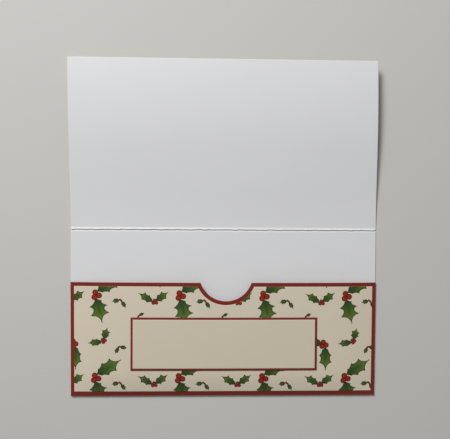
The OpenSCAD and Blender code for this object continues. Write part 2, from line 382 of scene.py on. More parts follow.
@dataclass(frozen=True)
class Finish:
    """A sheet of paper or card: its pulp, its cut edge, its folds that are paler partly from rubbing and
    partly as a painted highlight, and the tooth of its surface.

    The tooth is a fine uneven bump that scatters the light, the pulp gives faint clouds of tone, and flecks
    are single darker fibres. A cut edge is paler and matt, because it shows the core of the sheet. Uncoated
    sheets are open at the surface and shine less than their IOR says, so their specular level is low. The
    fibres of real paper are about 0.03 mm thick, too fine to show, so the tooth is drawn ten times coarser.
    """

    name: str
    face: str
    core: str
    # Pale colour of folds and the crease bead: partly rubbing, partly a painted highlight
    worn_and_lit: str
    roughness: float
    tooth_mm: float
    tooth_depth_mm: float
    cloud_mm: float = 14.0
    cloud_depth: float = 0.03
    fleck_mm: float = 9.0
    fleck_depth: float = 0.0
    fleck_radius_mm: float = 0.18
    wave_mm: float = 38.0
    wave_depth_mm: float = 0.0
    gloss_spread: float = 0.16
    cut_dulling: float = 0.15
    specular: float = 0.18
    ior: float = 1.5

    def ink(self, tree: bpy.types.NodeTree, place: Wire, ground: Colour | Wire) -> Colour | Wire:
        """Prints on the sheet. Plain stock has no print.

        Args:
            tree: The material's tree.
            place: Place on the object, in millimetres.
            ground: The bare sheet's colour.

        Returns:
            The colour with its print.
        """
        return ground

    def material(self) -> bpy.types.Material:
        """Builds the material once and gives the same one after that.

        Returns:
            The material.
        """
        found = bpy.data.materials.get(self.name)
        if found is not None:
            return found
        material = bpy.data.materials.new(self.name)
        material.use_nodes = True
        tree = material.node_tree
        tree.nodes.clear()
        place = Wire(tree, add_node(tree, "ShaderNodeTexCoord").outputs["Object"]).then(Op.SCALED, 1 / MM)
        cloud, tooth, wave = (
            Wire(tree, add_node(tree, "ShaderNodeTexNoise",
                                {"Vector": place, "Scale": 1 / size, "Detail": detail}).outputs[0])
            for size, detail in ((self.cloud_mm, 3.0), (self.tooth_mm, 4.0), (self.wave_mm, 1.0))
        )
        cells = add_node(tree, "ShaderNodeTexVoronoi", {"Vector": place, "Scale": 1 / self.fleck_mm})
        reach = Wire(tree, cells.outputs["Distance"]) * self.fleck_mm
        fleck = 1.0 - reach.then(Op.EASE, self.fleck_radius_mm * 0.4, self.fleck_radius_mm)
        shade = (cloud - 0.5) * (2 * self.cloud_depth) + (tooth - 0.5) * self.cloud_depth
        shade = shade - fleck * self.fleck_depth + 1.0
        cut, wear_and_highlight = (Wire(tree, add_node(tree, "ShaderNodeAttribute", attribute_name=name).outputs["Fac"])
                     for name in ("cut_edge", "fold_wear_and_highlight"))
        # A fold is painted pale where its tooth stands high: partly rubbing, and partly a painted highlight
        # on the folds and the crease bead
        rubbed_and_lit = wear_and_highlight * tooth.then(Op.EASE, 0.18, 0.61)
        colour = self.ink(tree, place, srgb(self.face))
        colour = rubbed_and_lit.then(Op.BLEND, colour, srgb(self.worn_and_lit))
        colour = cut.then(Op.BLEND, colour, srgb(self.core))
        grey = add_node(tree, "ShaderNodeCombineColor", {0: shade, 1: shade, 2: shade}).outputs[0]
        toned = add_node(tree, "ShaderNodeMix", {0: 1.0, 6: colour, 7: Wire(tree, grey)},
                         data_type="RGBA", blend_type="MULTIPLY").outputs[2]
        gloss = (tooth - 0.5) * self.gloss_spread + (cut * self.cut_dulling + self.roughness)
        swell = add_node(tree, "ShaderNodeBump", {"Distance": self.wave_depth_mm * MM, "Height": wave})
        grain = add_node(tree, "ShaderNodeBump", {"Distance": self.tooth_depth_mm * MM, "Height": tooth,
                                                  "Normal": Wire(tree, swell.outputs[0])})
        shader = add_node(tree, "ShaderNodeBsdfPrincipled", {
            "Base Color": Wire(tree, toned), "Roughness": gloss, "Normal": Wire(tree, grain.outputs[0]),
            "Specular IOR Level": self.specular, "IOR": self.ior,
        })
        add_node(tree, "ShaderNodeOutputMaterial", {"Surface": Wire(tree, shader.outputs[0])})
        return material


class Ink(Enum):
    """The inks of the print, as they look once they have sunk into cream paper."""

    LEAF_FOOT = "#263e1a"
    LEAF_MIDDLE = "#496225"
    LEAF_TIP = "#60752b"
    LEAF_ZONE = "#1d3214"
    LEAF_RIB = "#48622a"
    LEAF_OUTLINE = "#161d0c"
    BERRY_BODY = "#7e190d"
    BERRY_RING = "#9e2c19"
    BERRY_EYE = "#701911"
    BERRY_RIM = "#4a100a"

    @property
    def colour(self) -> Colour:
        """The ink as a linear colour."""
        return srgb(self.value)


@dataclass(frozen=True)
class Leaf:
    """A holly leaf: its ends, from its sprig's centre, its width, each side's scallops, and their depth."""

    foot: tuple[float, float]
    tip: tuple[float, float]
    width: float
    scallops: tuple[int, int] = (4, 4)
    depth: float = 0.22


@dataclass(frozen=True)
class Berry:
    """A holly berry: its centre, from its sprig's centre, and its radius."""

    centre: tuple[float, float]
    radius: float


@dataclass(frozen=True)
class Sprig:
    """Leaves and berries that grow together, and their place in the repeat of the print."""

    centre: tuple[float, float]
    leaves: tuple[Leaf, ...]
    berries: tuple[Berry, ...]


def motif(name: str, **inputs: str) -> tuple[bpy.types.NodeTree, dict[str, Wire]]:
    """Starts a node group that prints one motif over what lies under it.

    Args:
        name: The group's name.
        inputs: The motif's own inputs, and the kind of each.

    Returns:
        The group, and a wire from each of its inputs.
    """
    tree = bpy.data.node_groups.new(name, "ShaderNodeTree")
    kinds = {"under": "NodeSocketColor", "place": "NodeSocketVector", **inputs}
    for part, kind in kinds.items():
        tree.interface.new_socket(part, in_out="INPUT", socket_type=kind)
    tree.interface.new_socket("colour", in_out="OUTPUT", socket_type="NodeSocketColor")
    source = add_node(tree, "NodeGroupInput").outputs
    return tree, {part: Wire(tree, source[part]) for part in kinds}


def holly_leaf() -> bpy.types.NodeTree:
    """Builds the group that prints one holly leaf.

    Along the leaf s runs from 0 at its foot to 1 at its tip, and across it q runs from -1 to 1 over its
    width. Each side has its own count of scallops: a spine stands where count * s^(1.2 - 0.16 count) is
    whole, so that the spines spread out towards the tip. Between them the outline dips by depth |sin|^0.75,
    under a body that rises as (4 s)^0.6 and falls as (2.6 (1 - s))^1.9. The outline is inked dark, and
    heavier at the spines. A dark zone with a paler rib in it runs up the middle. The widths of the outline,
    the zone and the rib are in millimetres.

    Returns:
        The group.
    """
    lean, scallop_power, spine_mm = 0.06, 0.75, 0.3
    rise_rate, rise_power = 4.0, 0.6
    fall_rate, fall_power = 2.6, 1.9
    tree, given = motif("holly_leaf", foot="NodeSocketVector", along="NodeSocketVector",
                        across="NodeSocketVector", half="NodeSocketFloat", left="NodeSocketFloat",
                        right="NodeSocketFloat", depth="NodeSocketFloat")
    half = given["half"]
    from_foot = given["place"].then(Op.FROM, given["foot"])
    s = from_foot.then(Op.ALONG, given["along"])
    q = from_foot.then(Op.ALONG, given["across"])
    far = abs(q)
    leaning = (s - far * lean).then(Op.GREATER, 0.0).then(Op.LESSER, 1.0)
    count = given["right"] + (given["left"] - given["right"]) * q.then(Op.ABOVE, 0.0)
    dip = abs((leaning ** (1.2 - count * 0.16) * count * math.pi).then(Op.SINE)) ** scallop_power
    rise = (leaning * rise_rate).then(Op.LESSER, 1.0) ** rise_power
    fall = ((1.0 - leaning) * fall_rate).then(Op.LESSER, 1.0) ** fall_power
    outside = (far - rise * fall * (1.0 - dip * given["depth"])) * half
    spine = (1.0 - dip.then(Op.EASE, 0.05, 0.6)) * half.then(Op.EASE, 0.6, 3.0)
    within = s.then(Op.ABOVE, 0.0) * (1.0 - s.then(Op.ABOVE, 1.0))
    inked = (1.0 - (outside - spine * spine_mm).then(Op.EASE, 0.02, 0.16)) * within
    line = outside.then(Op.EASE, spine * -spine_mm - 0.5, -0.18)
    inner = s.then(Op.EASE, 0.1, 0.3) * (1.0 - s.then(Op.EASE, 0.5, 0.75))
    zone = (1.0 - (far * half).then(Op.EASE, 0.2, 1.3)) * inner
    rib = (1.0 - (far * half).then(Op.EASE, 0.05, 0.3)) * inner
    fill = s.then(Op.EASE, 0.05, 0.55).then(Op.BLEND, Ink.LEAF_FOOT.colour, Ink.LEAF_MIDDLE.colour)
    fill = s.then(Op.EASE, 0.45, 0.95).then(Op.BLEND, fill, Ink.LEAF_TIP.colour)
    fill = (zone * 0.6).then(Op.BLEND, fill, Ink.LEAF_ZONE.colour)
    fill = (rib * 0.5).then(Op.BLEND, fill, Ink.LEAF_RIB.colour)
    fill = (line * 0.95).then(Op.BLEND, fill, Ink.LEAF_OUTLINE.colour)
    add_node(tree, "NodeGroupOutput", {"colour": inked.then(Op.BLEND, given["under"], fill)})
    return tree


def holly_berry() -> bpy.types.NodeTree:
    """Builds the group that prints one round berry: a dark rim, a red body, a faint ring and a dark eye.

    Each part's place is a share of the berry's radius, measured from its centre.

    Returns:
        The group.
    """
    tree, given = motif("holly_berry", centre="NodeSocketVector", size="NodeSocketFloat")
    share = given["place"].then(Op.DISTANCE, given["centre"]) / given["size"]
    ring = 1.0 - abs(share - 0.4).then(Op.EASE, 0.05, 0.3)
    body = ring.then(Op.BLEND, Ink.BERRY_BODY.colour, Ink.BERRY_RING.colour)
    body = (1.0 - share.then(Op.EASE, 0.05, 0.25)).then(Op.BLEND, body, Ink.BERRY_EYE.colour)
    body = share.then(Op.EASE, 0.6, 0.96).then(Op.BLEND, body, Ink.BERRY_RIM.colour)
    printed = 1.0 - share.then(Op.EASE, 0.97, 1.07)
    add_node(tree, "NodeGroupOutput", {"colour": printed.then(Op.BLEND, given["under"], body)})
    return tree


def cluster(radius: float, *centres: tuple[float, float]) -> tuple[Berry, ...]:
    """Groups berries of one size, with a smaller one behind them that fills the gap in their middle."""
    return (Berry((0.0, 0.0), radius * 0.75), *(Berry(centre, radius) for centre in centres))


# The seven sprigs of one repeat, in millimetres from the first one's centre
HOLLY_SPRIGS = (
    Sprig((0.0, 0.0), (Leaf((0.9, 2.3), (13.8, 10.3), 7.4, depth=0.24),
                       Leaf((0.2, -2.0), (3.5, -15.1), 9.9, (4, 3), 0.4)),
          cluster(1.6, (-0.45, 1.5), (1.65, -0.2), (-0.95, -1.15))),
    Sprig((32.3, -3.55), (Leaf((-1.2, 0.3), (-8.9, 4.9), 4.2, (3, 4), 0.27),
                          Leaf((0.7, 0.8), (7.3, 5.5), 4.4, (3, 3), 0.27)),
          cluster(1.0, (-0.8, -0.5), (0.9, -0.4), (-0.1, 0.9))),
    Sprig((13.6, -2.65), (Leaf((-0.8, 0.0), (-4.8, -0.7), 2.4, (3, 3), 0.15),
                          Leaf((0.5, -0.6), (2.9, -4.2), 2.1, (3, 3), 0.15)),
          cluster(0.6, (-0.4, 0.3), (0.3, -0.3))),
    Sprig((4.45, -25.1), (Leaf((-1.1, -0.7), (-8.8, -1.5), 3.6, depth=0.18),
                          Leaf((0.1, 1.1), (1.8, 7.1), 4.3, (3, 4))),
          cluster(1.0, (-0.7, 0.5), (0.7, 0.1), (-0.2, -0.9))),
    Sprig((12.8, -28.55), (Leaf((0.5, 0.1), (4.5, -0.6), 2.1, (3, 3), 0.15),
                           Leaf((-0.3, -0.4), (-2.1, -3.7), 2.1, (3, 3), 0.15)),
          cluster(0.6, (0.15, 0.1), (-0.4, -0.4))),
    Sprig((33.9, -26.9), (Leaf((-1.3, 0.5), (-12.5, 2.6), 6.2), Leaf((0.8, -1.6), (1.2, -14.4), 6.4)),
          cluster(1.45, (-0.3, 1.3), (1.3, -0.3), (-1.0, -1.0))),
    Sprig((23.3, -11.7), (Leaf((0.4, 0.7), (3.3, 2.1), 1.5, depth=0.08),),
          cluster(0.5, (-0.1, -0.2), (0.1, 0.2), (0.4, 0.6))),
)


@dataclass(frozen=True)
class HollyPaper(Finish):
    """Cream paper, offset printed with a traditional holly repeat and cut a little askew from its sheet."""

    repeat: tuple[float, float] = (46.27, 46.04)
    start: tuple[float, float] = (-70.75, 9.8)
    turn_deg: float = -0.24

    def ink(self, tree: bpy.types.NodeTree, place: Wire, ground: Colour | Wire) -> Colour | Wire:
        """Prints every sprig of the repeat: its place is wrapped about its own centre, so no sprig is cut.

        Args:
            tree: The material's tree.
            place: Place on the object, in millimetres.
            ground: The bare paper's colour.

        Returns:
            The colour with its print.
        """
        leaf_group, berry_group = holly_leaf(), holly_berry()
        half = (self.repeat[0] / 2, self.repeat[1] / 2, 0.0)
        sheet = place.then(Op.FROM, (*self.start, 0.0)).then(Op.TURNED, -math.radians(self.turn_deg))
        for sprig in HOLLY_SPRIGS:
            here = sheet.then(Op.FROM, (*sprig.centre, 0.0)).then(Op.WRAPPED, half, tuple(-h for h in half))
            for leaf in sprig.leaves:
                run = np.subtract(leaf.tip, leaf.foot)
                length = float(np.linalg.norm(run))
                along = run / length ** 2
                across = np.array([-run[1], run[0]]) / length / (leaf.width / 2)
                printed = add_node(tree, "ShaderNodeGroup", {
                    "under": ground, "place": here, "foot": (*leaf.foot, 0.0), "along": (*along, 0.0),
                    "across": (*across, 0.0), "half": leaf.width / 2,
                    "left": leaf.scallops[0], "right": leaf.scallops[1], "depth": leaf.depth,
                }, node_tree=leaf_group)
                ground = Wire(tree, printed.outputs[0])
            for berry in sprig.berries:
                printed = add_node(tree, "ShaderNodeGroup", {
                    "under": ground, "place": here, "centre": (*berry.centre, 0.0), "size": berry.radius,
                }, node_tree=berry_group)
                ground = Wire(tree, printed.outputs[0])
        return ground


# Machine-made white card of about 300 g/m2, smooth on both sides. The eye sees a clean matt white with a
# soft sheen at low angles, a few single fibres, and a core at the cut edges as white as the face.
# Its pale fold colour, laid on the crease bead, its flank and the bend, is partly rubbing and partly a
# painted highlight on the lit ridge.
WHITE_CARD = Finish("white_card_300gsm", face="#dededf", core="#ececea", worn_and_lit="#eeeeee", roughness=0.5,
                    tooth_mm=0.5, tooth_depth_mm=0.006, cloud_depth=0.012, fleck_mm=16.0, fleck_depth=0.12,
                    wave_depth_mm=0.06)
# Card dyed in the pulp, so it is red right through. The eye sees a deep dull red with no gloss, mottled by
# the fibres, paler where the surface was cut, and paler round each fold, partly from rubbing and partly as a
# painted highlight.
RED_CARD = Finish("dyed_red_card", face="#76271c", core="#863a2f", worn_and_lit="#8e4036", roughness=0.55,
                  tooth_mm=0.35, tooth_depth_mm=0.01, cloud_depth=0.05)
# Uncoated cream paper, offset printed before it was cut. The eye sees warm cream, and inks that sink in:
# they are as dull as the paper, with crisp dark outlines.
HOLLY_PAPER = HollyPaper("holly_printed_paper", face="#d6cbb6", core="#e6dfcf", worn_and_lit="#e0d6c2",
                         roughness=0.6, tooth_mm=0.3, tooth_depth_mm=0.006, cloud_mm=7.0, cloud_depth=0.02)
# The same uncoated cream paper without a print, trimmed by knife. The eye sees an even warm cream.
LABEL_PAPER = Finish("cream_label_paper", face="#d3c8b2", core="#e6dfcf", worn_and_lit="#e0d6c2", roughness=0.6,
                     tooth_mm=0.3, tooth_depth_mm=0.006, cloud_mm=7.0, cloud_depth=0.02)
# Double-sided tape: a thin film with acrylic glue rolled on both faces. The eye sees a yellowish sheet that
# shines a little, with small air bubbles, which its tooth stands for.
CLEAR_TAPE = Finish("double_sided_tape", face="#d9d6c6", core="#cfcbb8", worn_and_lit="#d9d6c6", roughness=0.28,
                    tooth_mm=1.6, tooth_depth_mm=0.004, cloud_mm=5.0, cloud_depth=0.04, specular=0.35)


@dataclass(frozen=True)
class Bow:
    """The cover's bow: its angle to the table grows from the crease, holds, and falls to its far edge."""

    root_deg: float = 3.0
    steep_deg: float = 6.3
    far_deg: float = -3.0
    curl: float = 20.0
    straight: float = 25.0
    length: float = 93.5

    def angle(self, run: np.ndarray) -> np.ndarray:
        """Gives the angle to the table along the sheet, linear between the named angles.

        Args:
            run: Distances along the sheet from the crease.

        Returns:
            The angles, in radians.
        """
        marks = [0.0, self.curl, self.curl + self.straight, self.length]
        degrees = [self.root_deg, self.steep_deg, self.steep_deg, self.far_deg]
        return np.radians(np.interp(run, marks, degrees))

    def line(self, run: np.ndarray) -> tuple[np.ndarray, np.ndarray]:
        """Sums the cosine and the sine of the angle along the sheet.

        Args:
            run: Distances along the sheet from the crease.

        Returns:
            Distance from the crease along Y, and height above it.
        """
        samples = 2001
        fine = np.linspace(0.0, self.length, samples)
        angles = self.angle(fine)
        steps = np.stack([np.cos(angles), np.sin(angles)])
        sums = np.cumsum((steps[:, 1:] + steps[:, :-1]) / 2 * fine[1], axis=1)
        sums = np.concatenate([np.zeros((2, 1)), sums], axis=1)
        return np.interp(run, fine, sums[0]), np.interp(run, fine, sums[1])


@dataclass(frozen=True)
class BaseCard:
    """The white card: back panel, cover, the raised bead of the crease and the skin that bends behind it."""

    bow: Bow = Bow()
    column_step: float = 0.7
    panel_step: float = 2.5
    cover_step: float = 1.8
    rounding: float = 0.03
    seam: float = 0.28
    score_depth: float = 0.1
    # Width of the pale band along the crease, partly rubbing and partly a painted highlight
    wear_and_highlight_w: float = 0.45
    groove_from: float = 0.8
    groove_to: float = 1.6
    groove_end: float = 1.9
    groove_depth: float = 0.22
    bead_shift: float = 0.03
    bead_taper: float = 0.3
    lean: float = 0.45
    lobe_h: float = 0.28
    lobe_most: float = 0.18
    ridge_h: float = 0.2
    ridge_from: float = 0.2
    ridge_l: float = 0.6
    ridge_end: float = 1.5
    cover_drift: float = 1.1
    wave_h: float = 0.09
    wave_from: float = 4.0
    wave_over: float = 20.0

    def build(self) -> None:
        """Builds and dresses the four pieces of the card."""
        low, high = box_mm("back_panel")
        self.back_panel(low, high)
        self.bead(low, high)
        self.hinge_skin(low, high)
        self.cover(low, high)

    def columns(self, low: np.ndarray, high: np.ndarray) -> np.ndarray:
        """Gives the grid lines along the crease, close enough together for the bead's crinkles to show."""
        return stations(low[0] + self.rounding, high[0] - self.rounding, self.column_step)

    def lobes(self, x: np.ndarray) -> np.ndarray:
        """Gives how much further than usual the bead reaches over the groove at x: rolled card puckers."""
        return np.clip(self.lobe_h * wander(x, (4.3, 5.9, 8.3, 13.0), 9), -self.lobe_most, self.lobe_most)

    def back_panel(self, low: np.ndarray, high: np.ndarray) -> None:
        """Makes the back panel: flat, with the groove that the fold opened beside the bead.

        The groove is deep beside the bead and rises to the panel by a smooth step that follows the lobes.

        Args:
            low: Lowest corner of the panel.
            high: Highest corner of the panel.
        """
        x = self.columns(low, high)
        near = high[1] - self.groove_end
        rows = stations(low[1] + self.rounding, near, self.panel_step)
        y = np.concatenate([rows, np.linspace(near, high[1] - self.seam, 17)[1:]])
        across, up = np.meshgrid(x, y)
        depth = self.groove_depth * (0.95 + 0.05 * wander(x, (2.3, 4.1, 9.0), 5))
        past = high[1] - up - self.lobes(x) - self.groove_from
        top = high[2] - depth * (1 - smooth_step(past / (self.groove_to - self.groove_from)))
        # Pale band at the crease: partly rubbing, partly a painted highlight
        wear_and_highlight = 0.6 * np.exp(-((up - high[1]) / self.wear_and_highlight_w) ** 2)
        shell = Shell()
        shell.wall(surface(across, up, top), surface(across, up, low[2]), rounding=self.rounding, wear_and_highlight=wear_and_highlight)
        publish(shell.build("back_panel_card"), WHITE_CARD, Body.BASE, "white_card", "back_panel")

    def bead(self, low: np.ndarray, high: np.ndarray) -> None:
        """Makes the bead: a tube along the crease, with lobes on the groove's side.

        Its section is a superellipse, |y|^3 + |z|^3 = r^3, 5% taller than wide. The upper half is sheared
        upwards on the groove's side, so that the crest leans over the groove, and the half over the groove
        is stretched by the lobes. The bead closes to a line at both ends.

        Args:
            low: Lowest corner of the back panel.
            high: Highest corner of the back panel.
        """
        bead_low, bead_high = box_mm("fold_bead")
        radius = (bead_high[2] - bead_low[2]) / 2
        x = self.columns(low, high)
        turn = np.linspace(0, 2 * math.pi, 25)
        size = radius * (0.94 + 0.05 * wander(x, (2.1, 3.7, 6.1, 11.0), 7))
        size = size * np.sqrt(np.minimum(1, np.minimum(x - x[0], x[-1] - x) / self.bead_taper))
        section = [np.sign(part) * np.abs(part) ** (2 / 3) for part in (np.cos(turn), np.sin(turn))]
        y = section[0][:, None] * size
        z = section[1][:, None] * size * 1.05 - self.lean * y * (section[1][:, None] > 0)
        y = high[1] - self.bead_shift + y * np.where(y < 0, 1 + self.lobes(x) / radius, 1.0)
        shell = Shell()
        # The whole bead is painted pale: partly rubbing, partly a painted highlight on the lit ridge
        shell.patch(surface(x, y, z + high[2]), wear_and_highlight=1.0)
        publish(shell.build("crease_bead"), WHITE_CARD, Body.BASE, "white_card", "fold_bead")

    def hinge_skin(self, low: np.ndarray, high: np.ndarray) -> None:
        """Makes the strip of card under the bead where the cover folds, with a score behind it.

        The score is a shallow squared cosine across the strip.

        Args:
            low: Lowest corner of the back panel.
            high: Highest corner of the back panel.
        """
        x = self.columns(low, high)
        reach = np.linspace(-self.seam, self.seam, 17)
        across, out = np.meshgrid(x, reach)
        rise = np.maximum(out, 0) * math.tan(math.radians(self.bow.root_deg))
        middle_share = np.cos(out / self.seam * math.pi / 2)
        outer = surface(across, high[1] + out, high[2] + rise)
        inner = surface(across, high[1] + out, low[2] + rise + self.score_depth * middle_share ** 2)
        shell = Shell()
        # Pale band along the bend: partly rubbing, partly a painted highlight
        shell.wall(outer, inner, rounding=0.0, wear_and_highlight=0.8 * middle_share)
        piece = shell.build("crease_hinge")
        publish(piece, WHITE_CARD, None, "white_card")
        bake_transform(piece)

    def cover(self, low: np.ndarray, high: np.ndarray) -> None:
        """Makes the cover: the bow, low waves across it, and the flank of the bead at its root.

        The waves are a product of sines and a slanting sine, up to 0.13 mm high in all, which fade out
        towards the crease. The flank falls off from the bead by a smooth step. The sheet leans to the left
        in proportion to its distance from the crease.

        Args:
            low: Lowest corner of the back panel.
            high: Highest corner of the back panel.
        """
        x = self.columns(low, high)
        run = np.concatenate([np.linspace(self.seam, self.ridge_end, 13)[:-1],
                              stations(self.ridge_end, self.bow.length - self.rounding, self.cover_step)])
        across, along = np.meshgrid(x, run)
        out, rise = self.bow.line(along)
        angle = self.bow.angle(along)
        far = self.bow.line(np.array([self.bow.length]))[0][0]
        leaned = across - self.cover_drift * out / far
        fade = np.clip((along - self.wave_from) / self.wave_over, 0, 1)
        wave = np.sin(across / 21 + 0.6) * np.sin(along / 17 + 1.1)
        wave = wave + 0.6 * np.sin(across / 34 - along / 29 + 2.0)
        crinkle = 1 + 0.2 * wander(across, (2.6, 4.9, 9.1), 11)
        flank = self.ridge_h * crinkle * (1 - smooth_step((along - self.ridge_from) / self.ridge_l))
        level = high[2] + rise + self.wave_h * fade * wave
        outer = surface(leaned, high[1] + out, level + flank)
        inner = surface(leaned, high[1] + out + high[2] * np.sin(angle), level - high[2] * np.cos(angle))
        shell = Shell()
        # The flank that faces the lamp is painted pale: partly rubbing, partly a painted highlight
        shell.wall(outer, inner, rounding=self.rounding, wear_and_highlight=flank / self.ridge_h)
        publish(shell.build("cover_card"), WHITE_CARD, Body.COVER, "white_card", "cover_panel")


@dataclass(frozen=True)
class Pocket:
    """The red pocket: one card, folded behind on three sides, whose front swells up to a bulged mouth.

    Its methods also give the surface that the paper and the label lie on.
    """

    height: float = 63.3
    foot_y: float = -46.5
    mouth_half: float = 85.1
    foot_half: float = 84.8
    card_t: float = 0.3
    tape_t: float = 0.08
    fold_gap: float = 0.3
    inner_gap: float = 1.9
    side_swell: float = 28.0
    foot_swell: float = 14.0
    bulge_h: float = 1.6
    notch_r: float = 14.8
    notch_rise: float = 4.6
    notch_x: float = 0.8
    flap_w: float = 12.0
    mitre_gap: float = 1.5
    mouth_cut: float = 3.0
    rounding: float = 0.03
    grid_step: float = 1.6
    grid_edge: float = 0.25
    flap_step: float = 3.0
    flap_edge: float = 0.3
    notch_lines: int = 61
    fold_lines: int = 13

    @property
    def mouth_y(self) -> float:
        """Place of the mouth."""
        return self.foot_y + self.height

    @property
    def fold_r(self) -> float:
        """Outer radius of a fold."""
        return self.card_t + self.fold_gap / 2

    @property
    def fold_turn(self) -> np.ndarray:
        """Angles round a fold, from the flap up to the front."""
        return np.linspace(0, math.pi, self.fold_lines)

    @property
    def flap_lines(self) -> np.ndarray:
        """Distances in from a fold at which the grid lines of its flap lie."""
        inner = self.flap_step * np.arange(1, self.flap_w // self.flap_step)
        return np.concatenate([[0.0, self.flap_edge], inner, [self.flap_w - self.flap_edge, self.flap_w]])

    @property
    def front_foot(self) -> float:
        """Place where the front leaves the foot fold."""
        return self.foot_y + self.fold_r

    @property
    def flap_z(self) -> float:
        """Level of the flaps' underside: the back panel and its tape."""
        return box_mm("back_panel")[1][2] + self.tape_t

    def side_x(self, y: np.ndarray | float) -> np.ndarray | float:
        """Gives half the pocket's width, out to the folds: it narrows evenly towards the foot."""
        return self.foot_half + (y - self.foot_y) * (self.mouth_half - self.foot_half) / self.height

    def front_x(self, y: np.ndarray | float) -> np.ndarray | float:
        """Gives half the front's width, in to where it leaves the side folds."""
        return self.side_x(y) - self.fold_r

    def top(self, x: np.ndarray, y: np.ndarray) -> np.ndarray:
        """Gives the height of the front's upper face.

        It leaves each fold at the fold's own height, swells by a parabola over a set distance from it, and
        bulges further towards the middle of the mouth by (1 - u^2)^2 v (2 - v).

        Args:
            x: Places across.
            y: Places up from the foot.

        Returns:
            The heights.
        """
        half = self.front_x(y)
        side = np.clip(1 - (half - np.abs(x)) / self.side_swell, 0, 1) ** 2
        foot = np.clip(1 - (y - self.front_foot) / self.foot_swell, 0, 1) ** 2
        u = np.clip(x / half, -1, 1)
        v = (y - self.front_foot) / (self.mouth_y - self.front_foot)
        swell = (self.inner_gap - self.fold_gap) * (1 - side) * (1 - foot)
        return self.flap_z + 2 * self.fold_r + swell + self.bulge_h * (1 - u * u) ** 2 * v * (2 - v)

    def mouth_line(self, x: np.ndarray, inset: float) -> np.ndarray:
        """Gives the upper edge of a sheet: straight, with the arc of the notch, both drawn in.

        Args:
            x: Places across.
            inset: How far the sheet is drawn in from the pocket's edge.

        Returns:
            The edge's place up from the foot at each place across.
        """
        drop = (self.notch_r + inset) ** 2 - (x - self.notch_x) ** 2
        arc = self.mouth_y + self.notch_rise - np.sqrt(np.maximum(drop, 0))
        return np.where(drop > 0, np.minimum(arc, self.mouth_y - inset), self.mouth_y - inset)

    def mouth_stations(self, half: float, inset: float) -> np.ndarray:
        """Gives grid lines across a sheet: even outside the notch, and even along its arc inside it.

        Args:
            half: Half the sheet's width at the mouth.
            inset: How far the sheet is drawn in from the pocket's edge.

        Returns:
            The places across.
        """
        radius = self.notch_r + inset
        corner = math.acos((self.notch_rise + inset) / radius)
        arc = self.notch_x + radius * np.sin(np.linspace(-corner, corner, self.notch_lines))
        left = stations(-half, arc[0], self.grid_step, self.grid_edge)[:-1]
        right = stations(arc[-1], half, self.grid_step, self.grid_edge)[1:]
        return np.concatenate([left, arc, right])

    def front_grid(self, side: float, foot: float, mouth: float) -> tuple[np.ndarray, np.ndarray]:
        """Lays a grid over the front, drawn in from the pocket's outer edges.

        Args:
            side: How far it is drawn in from the sides.
            foot: How far it is drawn in from the foot.
            mouth: How far it is drawn in from the mouth and from the notch.

        Returns:
            The grid's places across and up.
        """
        low = self.foot_y + foot
        high = self.mouth_y - mouth
        half = self.side_x(high) - side
        x = self.mouth_stations(half, mouth)
        share = (stations(low, high, self.grid_step, self.grid_edge) - low) / (high - low)
        y = low + share[:, None] * (self.mouth_line(x, mouth) - low)
        return x * (self.side_x(y) - side) / half, y

    def build(self) -> None:
        """Builds the pocket as one shell: front, three folds and three flaps, welded where they join."""
        shell = Shell()
        x, y = self.front_grid(self.fold_r, self.fold_r, 0.0)
        z = self.top(x, y)
        shell.wall(surface(x, y, z), surface(x, y, z - self.card_t), sides=(Side.LAST_ROW,),
                   rounding=self.rounding)
        share = (y[:, 0] - y[0, 0]) / (y[-1, 0] - y[0, 0])
        for hand in (-1, 1):
            self.side_strip(shell, share, hand)
        self.foot_strip(shell, x[0] / self.front_x(self.front_foot))
        publish(shell.build("pocket_card"), RED_CARD, Body.BASE, "red_card", "pocket_front",
                "pocket_fold_left", "pocket_fold_right", "pocket_fold_foot",
                "pocket_flap_left", "pocket_flap_right", "pocket_flap_foot")

    def fold_arc(self, radius: float) -> tuple[np.ndarray, np.ndarray]:
        """Gives a fold's half circle, from the flap up to the front.

        Args:
            radius: The radius of the face.

        Returns:
            How far it reaches out, and its heights.
        """
        return radius * np.sin(self.fold_turn), self.flap_z + self.fold_r - radius * np.cos(self.fold_turn)

    def side_strip(self, shell: Shell, share: np.ndarray, hand: int) -> None:
        """Adds a side fold, mitred at the foot, and its flap, which slopes at the mouth.

        Args:
            shell: The pocket's shell.
            share: Shares of the front's height at which its rows lie.
            hand: 1 for the +X side and -1 for the -X side.
        """
        faces = []
        for radius in (self.fold_r, self.fold_r - self.card_t):
            out, z = self.fold_arc(radius)
            y = (self.front_foot - out) + share[:, None] * (self.mouth_y - self.front_foot + out)
            faces.append(surface(hand * (self.front_x(y) + out), y, z))
        # The fold is painted paler at its outer curve: partly rubbing, partly a painted highlight
        shell.wall(faces[0], faces[1], sides=(Side.LAST_ROW,), rounding=self.rounding,
                   wear_and_highlight=np.sin(self.fold_turn) ** 2)
        inward = self.flap_lines
        low = self.front_foot + inward
        high = self.mouth_y - self.mouth_cut * inward / self.flap_w
        y = low + share[:, None] * (high - low)
        x = hand * (self.front_x(y) - inward)
        shell.wall(surface(x, y, self.flap_z), surface(x, y, self.flap_z + self.card_t),
                   sides=(Side.FIRST_ROW, Side.LAST_ROW, Side.LAST_COLUMN), rounding=self.rounding)

    def foot_strip(self, shell: Shell, share: np.ndarray) -> None:
        """Adds the foot fold, mitred at both ends, and its flap.

        Args:
            shell: The pocket's shell.
            share: Shares of the front's half width at which its columns lie.
        """
        faces = []
        for radius in (self.fold_r, self.fold_r - self.card_t):
            out, z = (part[:, None] for part in self.fold_arc(radius))
            y = self.front_foot - out
            faces.append(surface(share * (self.front_x(y) + out), y, z))
